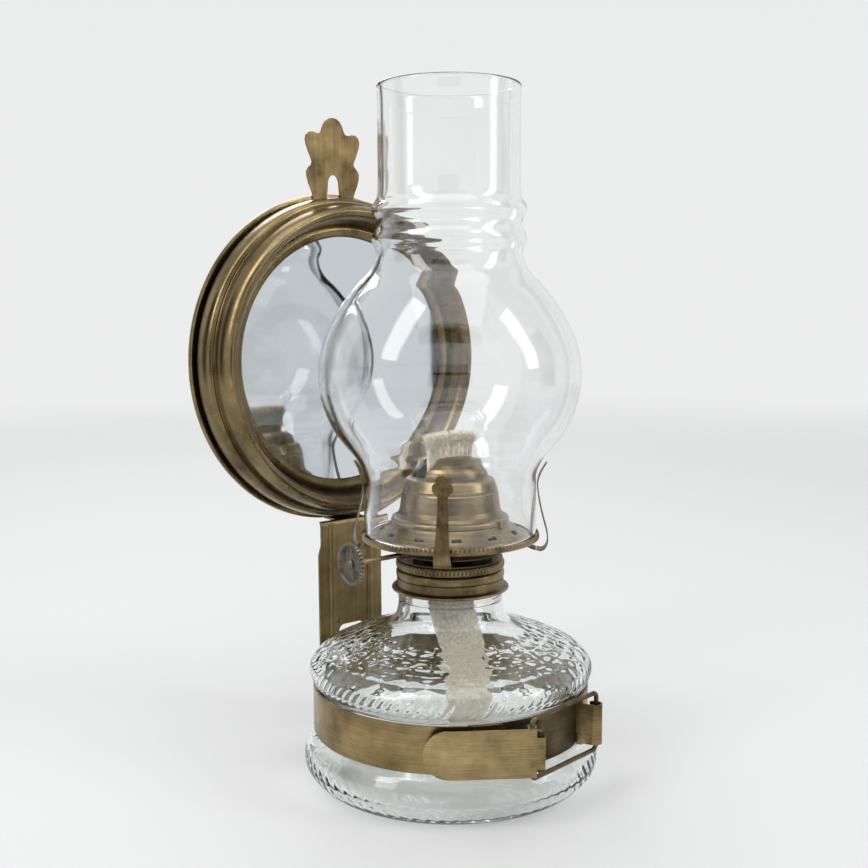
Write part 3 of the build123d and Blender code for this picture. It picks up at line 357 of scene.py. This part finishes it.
dprof = np.gradient(prof, axis=0)
dprof /= np.linalg.norm(dprof, axis=1)[:, None] + 1e-9
nr, nz = dprof[:, 1], -dprof[:, 0]


def font_fn(th, R, Z):
    H = relief(th, R, Z)
    H[n_out:] = 0
    H[n_out - 70:] *= 0
    H = np.clip(0.62 * H, -0.3, 0.75)
    return H * nr[:, None], H * nz[:, None]


FN = 720
fontv = lathe("font_pressed", prof, FN, fn=font_fn, closed=False, smooth=None)
me = fontv.data
# close the two small ends on the axis
import bmesh
bm = bmesh.new(); bm.from_mesh(me)
bmesh.ops.holes_fill(bm, edges=[e for e in bm.edges if e.is_boundary], sides=0)
bmesh.ops.recalc_face_normals(bm, faces=bm.faces)
bm.to_mesh(me); bm.free(); me.shade_smooth()
put(fontv, "lamp", GL_FONT, "font_glass", slot="font_glass")
fontv.visible_shadow = False

# ----------------------------------------------------------------- collar
cp = [(23.15, 84.0), (25.4, 84.0), (25.95, 84.25), (26.1, 84.7), (25.9, 85.15), (25.3, 85.4), (24.5, 85.6), (23.95, 86.0), (23.8, 86.6), (23.8, 88.6), (23.65, 89.1), (23.5, 89.35), (23.75, 89.7), (24.02, 90.3),
      (24.1, 91.2), (24.05, 92.2), (23.8, 92.9), (23.2, 93.35), (22.6, 93.4), (15.9, 93.4), (15.87, 93.3), (15.87, 86.0), (16.6, 86.0), (16.6, 92.6), (22.95, 92.6), (23.0, 92.4), (23.0, 84.7)]
put(fix_normals(lathe("collar_turned", cp, 192)), "lamp", BR_RING, "collar", slot="brass")

# knurled ring of the burner
kp = [(15.05, 97.45), (15.05, 86.4), (15.72, 86.4), (15.72, 93.7), (23.3, 93.7), (23.7, 94.0), (23.75, 94.35), (24.05, 94.6), (24.05, 95.2), (24.05, 95.8), (24.05, 96.5), (23.75, 96.8), (23.6, 97.2), (23.2, 97.45)]


def knurl(th, R, Z):
    w = (R > 23.9) & (Z > 94.5) & (Z < 96.6)
    s = np.cos(84 * th) * 0.5 + 0.5
    return np.where(w, 0.15 - 0.65 * (1 - s ** 0.6), 0), 0 * R


put(fix_normals(lathe("burner_ring_knurled", kp, 1008, fn=knurl, smooth=50)), "burner_ring", BR_RING, "burner_skirt", slot="brass")

# knob: dished dial, raised milled rim, boss behind it
kx, ky, kz = -58.6, -5.1, 104.2


def knob_mesh():
    prof = [(1.1, -58.15), (3.0, -58.1), (7.0, -58.1), (7.5, -58.25), (7.75, -58.6), (8.1, -58.75), (8.7, -58.7), (9.0, -58.3), (9.05, -57.9), (8.9, -57.4), (8.4, -57.2), (3.2, -57.2), (2.4, -56.9), (2.2, -56.2), (2.15, -54.7), (1.9, -54.55), (1.1, -54.55)]
    n = 288
    v, f = [], []
    for i, (r, x) in enumerate(prof):
        for k in range(n):
            a = 2 * math.pi * k / n
            rr = r
            if r > 8.3:
                rr = r - 0.75 * max(0.0, math.cos(32 * a)) ** 1.5
            elif 3.5 < r < 7.2:
                pass
            v.append((x * MM, (ky + rr * math.cos(a)) * MM, (kz + rr * math.sin(a)) * MM))
    m = len(prof)
    for i in range(m):
        for k in range(n):
            k2 = (k + 1) % n
            f.append((i * n + k, i * n + k2, ((i + 1) % m) * n + k2, ((i + 1) % m) * n + k))
    return v, f


kv, kf = knob_mesh()
put(fix_normals(new_object("knob_milled", kv, kf, 40)), "knob", BR_KNOB, "wick_knob", slot="brass")
# short raised ticks round the dial's face
tv, tf = [], []
for k in range(12):
    a = 2 * math.pi * k / 12 + 0.2
    for (r, w_) in ((5.2, 0.22), (6.6, 0.32)):
        for sgn in (-1, 1):
            for x in (-58.28, -58.05):
                tv.append((x * MM, (ky + r * math.cos(a) - sgn * w_ * math.sin(a)) * MM, (kz + r * math.sin(a) + sgn * w_ * math.cos(a)) * MM))
    b0 = k * 8
    for q in ((0, 1, 3, 2), (4, 6, 7, 5), (0, 4, 5, 1), (2, 3, 7, 6), (0, 2, 6, 4), (1, 5, 7, 3)):
        tf.append(tuple(b0 + j for j in q))
put(fix_normals(new_object("knob_ticks", tv, tf, 30)), "knob", BR_KNOB, slot="brass")

# gallery deck with a beaded rim
gp = [(38.2, 106.7), (39.0, 106.7), (39.35, 107.0), (39.45, 107.5), (39.45, 108.1), (39.45, 108.7), (39.35, 109.2), (39.1, 109.55), (38.9, 109.4), (38.8, 108.9), (38.75, 108.5), (36.2, 108.45), (35.4, 108.75), (34.4, 109.2), (31.8, 110.5),
      (28.8, 112.3), (27.2, 113.2), (26.4, 113.8), (26.05, 114.4), (25.8, 114.5), (25.45, 114.4), (25.6, 113.6), (26.4, 112.8), (28.4, 111.65), (31.4, 109.85), (34.8, 108.15), (36.0, 107.95), (38.2, 107.9)]


def bead(th, R, Z):
    w = (R > 39.2) & (Z > 106.9) & (Z < 109.3)
    row = np.where(Z > 108.0, 0.5, 0.0)
    s = np.cos(2 * math.pi * (124 * th / (2 * math.pi) + row)) * 0.5 + 0.5
    lump = 0.5 + 0.5 * np.cos((Z - 108.1) * 2.4)
    return np.where(w, 0.28 * s - 0.30 + 0.1 * lump, 0), 0 * R


deck = fix_normals(lathe("gallery_beaded", gp, 1240, fn=bead, smooth=50))
# lanced openings through the cone
for k in range(12):
    a = math.radians(-35.5 + 30 * k)
    r = 30.2
    bpy.ops.mesh.primitive_cube_add(size=1)
    c = bpy.context.object
    c.dimensions = (4.4 * MM, 2.2 * MM, 7 * MM)
    c.location = (r * math.sin(a) * MM, -r * math.cos(a) * MM, 111 * MM)
    c.rotation_euler = (0, 0, a)
    c.name = "cut%d" % k
cutters = [o for o in bpy.data.objects if o.name.startswith("cut")]
bpy.ops.object.select_all(action="DESELECT")
for c in cutters:
    c.select_set(True)
bpy.context.view_layer.objects.active = cutters[0]
bpy.ops.object.transform_apply(location=True, rotation=True, scale=True)
bpy.ops.object.join()
cut = bpy.context.view_layer.objects.active
md = deck.modifiers.new("holes", "BOOLEAN"); md.operation = "DIFFERENCE"; md.object = cut; md.solver = "EXACT"
bpy.ops.object.select_all(action="DESELECT")
deck.select_set(True)
bpy.context.view_layer.objects.active = deck
bpy.ops.object.modifier_apply(modifier="holes")
bpy.data.objects.remove(cut)
put(deck, "burner", BR_DOME, "gallery_deck", slot="brass")

# reflector frame
fl = [(59.1, 77.2), (60.3, 76.2), (62.0, 75.6), (63.6, 76.0), (64.5, 76.4), (65.2, 75.2), (65.8, 73.0), (67.0, 69.0), (68.7, 66.1), (70.5, 65.3), (72.0, 67.0), (73.0, 70.2), (73.4, 73.6), (74.0, 75.3), (75.2, 75.4), (76.4, 76.6), (77.1, 80.0), (77.0, 84.0)]
fl = catmull(fl, 8)
fo_, fi_ = offset_line(fl, 0.4), offset_line(fl, -0.4)
ref = fix_normals(lathe("frame_rolled", np.vstack([fo_, fi_[::-1]]), 256, axis="Y", centre=(0, 0, 182.6)))
put(ref, "lamp", BR_REF, slot="brass")
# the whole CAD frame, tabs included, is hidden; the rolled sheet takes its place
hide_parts("reflector_frame")

# profile for a back plate rim and sheet; it is not turned into a mesh
bp_ = [(0.3, 87.0), (78.3, 87.0), (79.0, 87.1), (79.4, 87.5), (79.5, 88.2), (79.4, 88.9), (79.0, 89.3), (78.5, 89.3), (78.2, 88.9), (78.1, 88.2), (77.9, 87.8), (0.3, 87.8)]

# -------------------------------------------------------------------- wick
def wick_mesh():
    verts, faces = [], []
    path = catmull([(0, 149.2), (0, 140), (0, 120), (0, 100), (0, 93), (0, 87), (-1.5, 77), (-5.0, 66), (-9.0, 55), (-12.2, 43), (-14.0, 31), (-13.4, 22), (-12.0, 16.5)], 30)
    path = resample(path, 0.7)
    d = np.gradient(path, axis=0); d /= np.linalg.norm(d, axis=1)[:, None]
    nn = np.stack([-d[:, 1], d[:, 0]], 1)
    nx = 96
    w, t = 12.55, 1.1
    a = np.linspace(0, 2 * math.pi, nx, endpoint=False)
    cx = np.sign(np.cos(a)) * np.abs(np.cos(a)) ** 0.35 * w
    cy = np.sign(np.sin(a)) * np.abs(np.sin(a)) ** 0.6 * t
    for i, (y, z) in enumerate(path):
        s = i * 0.7
        for k in range(nx):
            x = cx[k]
            rib = 0.16 * math.cos(x * 2 * math.pi / 1.55) + 0.12 * math.cos(2 * math.pi * (s / 2.1 + (0.5 if int((x + 40) / 1.55) % 2 else 0)))
            off = cy[k] + (rib if cy[k] > 0 else -rib) * (1 if abs(cy[k]) > 0.35 else 0.2)
            verts.append(((x) * MM, (y + nn[i, 0] * -off) * MM, (z + nn[i, 1] * -off) * MM))
    m = len(path)
    for i in range(m - 1):
        for k in range(nx):
            k2 = (k + 1) % nx
            faces.append((i * nx + k, i * nx + k2, (i + 1) * nx + k2, (i + 1) * nx + k))
    faces.append(tuple(range(nx))[::-1])
    faces.append(tuple(range((m - 1) * nx, m * nx)))
    return verts, faces


wv, wf = wick_mesh()
wick = put(fix_normals(new_object("wick_woven", wv, wf, None)), "wick", COTTON, "wick", slot="wick")
# frayed top: many short cotton strands that splay a little
sv, sf = [], []
for i in range(1500):
    x0 = rng.uniform(-12.4, 12.4)
    y0 = rng.uniform(-1.15, 1.15)
    base = 143.5 + rng.uniform(0, 4.5)
    top_z = 153.6 + rng.uniform(-3.2, 0.6) - 0.9 * (abs(x0) / 12.4) ** 3
    ox, oy = x0 * 0.10 + rng.normal(0, 1.0), y0 * 1.9 + rng.normal(0, 0.9)
    ph = rng.uniform(0, 6.28)
    pts = []
    for s in np.linspace(0, 1, 7):
        q = s ** 1.7
        pts.append(np.array([x0 + ox * q + 0.18 * math.sin(ph + s * 7) * s, y0 + oy * q + 0.18 * math.cos(ph + s * 6) * s, base + (top_z - base) * s]))
    r = rng.uniform(0.13, 0.24)
    for j, p in enumerate(pts):
        rj = r * (1 - 0.45 * (j / 6) ** 2)
        for k in range(5):
            a = k * 2 * math.pi / 5
            sv.append(tuple((p + np.array([rj * math.cos(a), rj * math.sin(a), 0])) * MM))
    b0 = len(sv) - 35
    for j in range(6):
        for k in range(5):
            sf.append((b0 + j * 5 + k, b0 + j * 5 + (k + 1) % 5, b0 + (j + 1) * 5 + (k + 1) % 5, b0 + (j + 1) * 5 + k))
    sf.append(tuple(b0 + 30 + k for k in range(5)))
put(new_object("wick_fray", sv, sf, None), "wick", COTTON, slot="wick")

# ------------------------------------------------------------ floor, lights
def floor_mesh():
    v, f = [], []
    rad = [0, 0.3, 0.6, 1, 1.6, 2.4, 3.4, 5.0]
    n = 96
    v.append((0, 0, 0))
    for r in rad[1:]:
        for k in range(n):
            a = 2 * math.pi * k / n
            v.append((r * math.cos(a), r * math.sin(a), 0))
    for k in range(n):
        f.append((0, 1 + k, 1 + (k + 1) % n))
    for i in range(len(rad) - 2):
        for k in range(n):
            a, b2 = 1 + i * n + k, 1 + i * n + (k + 1) % n
            f.append((a, a + n, b2 + n, b2))
    return v, f


fv, ff = floor_mesh()
floor = new_object("floor", fv, ff, None)
fm, nt, b = mat_new("floor_pale")
co = N(nt, "ShaderNodeTexCoord"); n = N(nt, "ShaderNodeTexNoise"); n.inputs["Scale"].default_value = 900
nt.links.new(co.outputs["Object"], n.inputs["Vector"])
cr = N(nt, "ShaderNodeValToRGB"); cr.color_ramp.elements[0].color = (0.60, 0.603, 0.605, 1); cr.color_ramp.elements[1].color = (0.63, 0.632, 0.634, 1)
nt.links.new(n.outputs["Fac"], cr.inputs["Fac"]); nt.links.new(cr.outputs["Color"], b.inputs["Base Color"])
b.inputs["Roughness"].default_value = 0.6
b.inputs["Specular IOR Level"].default_value = 0.15
gr = N(nt, "ShaderNodeTexGradient", gradient_type="SPHERICAL")
mp = N(nt, "ShaderNodeMapping"); mp.inputs["Scale"].default_value = (0.5, 0.5, 0.5)
nt.links.new(co.outputs["Object"], mp.inputs["Vector"]); nt.links.new(mp.outputs["Vector"], gr.inputs["Vector"])
mr = N(nt, "ShaderNodeMapRange", interpolation_type="SMOOTHSTEP"); mr.inputs["From Max"].default_value = 0.72
nt.links.new(gr.outputs["Fac"], mr.inputs["Value"]); nt.links.new(mr.outputs["Result"], b.inputs["Alpha"])
floor.data.materials.append(fm)

world = bpy.data.worlds.new("studio"); scene.world = world; world.use_nodes = True
nt = world.node_tree
bg = nt.nodes["Background"]
co = N(nt, "ShaderNodeTexCoord"); sp = N(nt, "ShaderNodeSeparateXYZ")
nt.links.new(co.outputs["Generated"], sp.inputs["Vector"])
cr = N(nt, "ShaderNodeValToRGB")
cr.color_ramp.elements[0].position = 0.0; cr.color_ramp.elements[0].color = (0.845, 0.848, 0.85, 1)
cr.color_ramp.elements[1].position = 1.0; cr.color_ramp.elements[1].color = (0.83, 0.834, 0.838, 1)
mr = N(nt, "ShaderNodeMapRange"); mr.inputs["From Min"].default_value = 0.0; mr.inputs["From Max"].default_value = 0.6
nt.links.new(sp.outputs["Z"], mr.inputs["Value"]); nt.links.new(mr.outputs["Result"], cr.inputs["Fac"]); nt.links.new(cr.outputs["Color"], bg.inputs["Color"])
bg.inputs["Strength"].default_value = 1.0


def area(name, loc, size, power, look=(0, 0, 0.15), color=(1, 1, 1)):
    l = bpy.data.lights.new(name, "AREA"); l.shape = "RECTANGLE"; l.size, l.size_y = size; l.energy = power; l.color = color
    o = bpy.data.objects.new(name, l); scene.collection.objects.link(o)
    o.location = loc
    o.rotation_euler = (Vector(look) - Vector(loc)).to_track_quat("-Z", "Y").to_euler()
    o.visible_camera = False
    return o


def toward(az, el, d, z=0.15):
    """A point seen from the lamp at an azimuth (from -Y to +X) and elevation, in degrees."""
    a, e = math.radians(az), math.radians(el)
    return (d * math.sin(a) * math.cos(e), -d * math.cos(a) * math.cos(e), z + d * math.sin(e))


area("key", toward(-95, 42, 1.3), (0.35, 1.1), 5.5)
area("fill", toward(35, 30, 1.4), (0.3, 1.1), 4.0)
area("top", toward(-40, 80, 1.3), (1.2, 1.2), 5.5)
area("rear", toward(160, 38, 1.4), (0.6, 0.6), 4.0)

# dark cards that only reflections and refractions see
card, nt, b = mat_new("dark_card")
b.inputs["Base Color"].default_value = (0.012, 0.012, 0.013, 1)
b.inputs["Roughness"].default_value = 0.9
b.inputs["Specular IOR Level"].default_value = 0.0


def flag(name, az, el, d, w, h, z=0.15):
    c = Vector(toward(az, el, d, z))
    t = (Vector((0, 0, z)) - c).normalized()
    rt = t.cross(Vector((0, 0, 1))).normalized(); up = rt.cross(t)
    v = [c + rt * sx * w / 2 + up * sy * h / 2 for sx, sy in ((-1, -1), (1, -1), (1, 1), (-1, 1))]
    o = new_object(name, v, [(0, 1, 2, 3)], None)
    o.data.materials.append(card)
    o.visible_camera = False; o.visible_shadow = False; o.visible_diffuse = False
    return o


flag("card_front", -40, 2, 1.5, 1.0, 0.42, 0.15)
flag("card_front_high", -40, 46, 1.6, 1.4, 0.35, 0.15)
flag("card_left", -128, 8, 1.4, 0.45, 1.3)
flag("card_right", 52, 8, 1.4, 0.45, 1.3)
flag("card_back_left", 180, 14, 1.6, 0.3, 0.9)

# ------------------------------------------------------------------ camera
F, PXC = 1176.0, 434.0
D, H, PITCH, ROLL, AZ, XAX = 514.0, 216.0, math.radians(7.0), math.radians(0.26), math.radians(-40.5), 449.8
C0 = np.array([D * math.sin(AZ), -D * math.cos(AZ), H])
yaw = math.atan((XAX - PXC) / (F * math.cos(PITCH)))
fx, fy = -math.sin(AZ), math.cos(AZ)
hx, hy = fx * math.cos(yaw) - fy * math.sin(yaw), fx * math.sin(yaw) + fy * math.cos(yaw)
fwd = np.array([hx * math.cos(PITCH), hy * math.cos(PITCH), -math.sin(PITCH)])
right = np.array([hy, -hx, 0.0]); right /= np.linalg.norm(right)
up = np.cross(right, fwd)
Rr = right * math.cos(ROLL) - up * math.sin(ROLL)
Ur = right * math.sin(ROLL) + up * math.cos(ROLL)
cam = bpy.data.cameras.new("camera"); cam.sensor_width = 36.0; cam.lens = 36.0 * F / 868.0
cam.clip_start = 0.01
cob = bpy.data.objects.new("camera", cam); scene.collection.objects.link(cob)
M = Matrix(((Rr[0], Ur[0], -fwd[0], C0[0] * MM), (Rr[1], Ur[1], -fwd[1], C0[1] * MM), (Rr[2], Ur[2], -fwd[2], C0[2] * MM), (0, 0, 0, 1)))
cob.matrix_world = M
scene.camera = cob
scene.view_settings.view_transform = "Standard"
scene.view_settings.look = "None"
